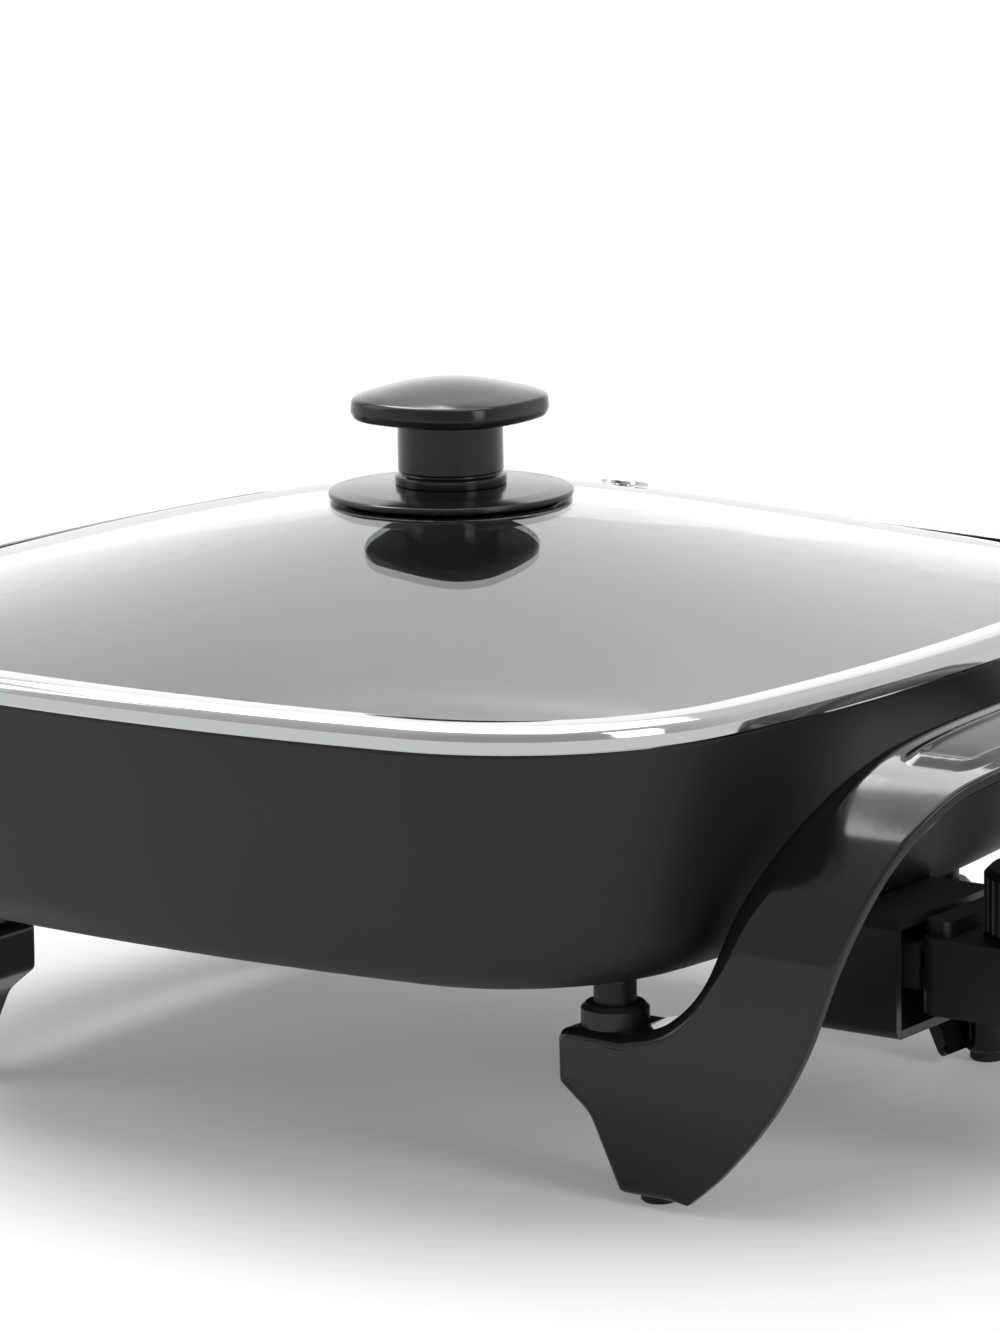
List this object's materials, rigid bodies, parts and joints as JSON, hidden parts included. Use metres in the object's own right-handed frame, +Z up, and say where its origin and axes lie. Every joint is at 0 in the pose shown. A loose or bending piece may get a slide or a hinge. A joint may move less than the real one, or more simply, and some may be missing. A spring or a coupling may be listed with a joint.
{
  "type": "electric skillet",
  "caption": "Square electric skillet: cast pan on two arched handles with legs, domed glass lid with a steel rim and knob, and a plug-in heat control with a dial.",
  "frame": {"origin": "on the table, at the middle of the whole object's footprint (the pan's centre is 18.5 mm towards -X)", "axes": "+X towards the plug-in heat control, through both handles; +Z up"},
  "size_m": [0.443, 0.3, 0.1799],
  "materials": {
    "pan_coating": "dark non-stick coating, satin",
    "element_sheath": "sheathed tube, dull",
    "pin_steel": "plated pins",
    "ceramic": "glazed ceramic",
    "guard_plastic": "moulded phenolic, fine texture",
    "handle_plastic": "moulded phenolic, gloss",
    "collar_plastic": "moulded phenolic, satin",
    "screw_steel": "zinc plated",
    "foot_rubber": "matt",
    "lid_glass": "clear tempered",
    "rim_steel": "polished stainless",
    "gasket_silicone": "silicone",
    "knob_plastic": "moulded phenolic, gloss",
    "control_plastic": "moulded, satin",
    "contact_metal": "plated spring metal",
    "sensor_steel": "drawn stainless",
    "frame_steel": "stamped",
    "lamp_glass": "small neon lamp",
    "lens_plastic": "clear tinted",
    "gland_rubber": "moulded",
    "dial_plastic": "moulded, gloss",
    "pointer_white": "white inlay"
  },
  "bodies": {
    "base": {"pan_body": "pan_coating", "heating_element": "element_sheath", "terminal_pins": "pin_steel", "terminal_insulators": "ceramic", "socket_guard": "guard_plastic", "guard_screws": "screw_steel", "right_handle": "handle_plastic", "left_handle": "handle_plastic", "leg_collars": "collar_plastic", "leg_screws": "screw_steel", "foot_pads": "foot_rubber"},
    "lid": {"glass_dome": "lid_glass", "rim_band": "rim_steel", "vent_eyelet": "rim_steel", "knob_gasket": "gasket_silicone", "knob_flange": "knob_plastic", "knob_stem": "knob_plastic", "knob_cap": "knob_plastic", "knob_washer": "screw_steel", "knob_screw": "screw_steel"},
    "control": {"lower_shell": "control_plastic", "upper_shell": "control_plastic", "shell_screws": "screw_steel", "probe_nose": "control_plastic", "contact_sleeves": "contact_metal", "sensor_tube": "sensor_steel", "shaft_bushing": "contact_metal", "thermostat_frame": "frame_steel", "contact_blade": "contact_metal", "neon_lamp": "lamp_glass", "lamp_lens": "lens_plastic", "cord_gland": "gland_rubber"},
    "dial": {"dial": "dial_plastic", "dial_pointer": "pointer_white", "dial_shaft": "sensor_steel"}
  },
  "joints": [
    {"name": "lid_lift", "type": "slide", "parent": "base", "child": "lid", "axis": [0, 0, 1], "range_m": [0, 0.15]},
    {"name": "control_pull", "type": "slide", "parent": "base", "child": "control", "axis": [1, 0, 0], "range_m": [0, 0.09]},
    {"name": "dial_turn", "type": "hinge", "parent": "control", "child": "dial", "pos_m": [0.1602, 0, 0.0594], "axis": [0, 0, 1], "range_deg": [-290, 0]}
  ]
}
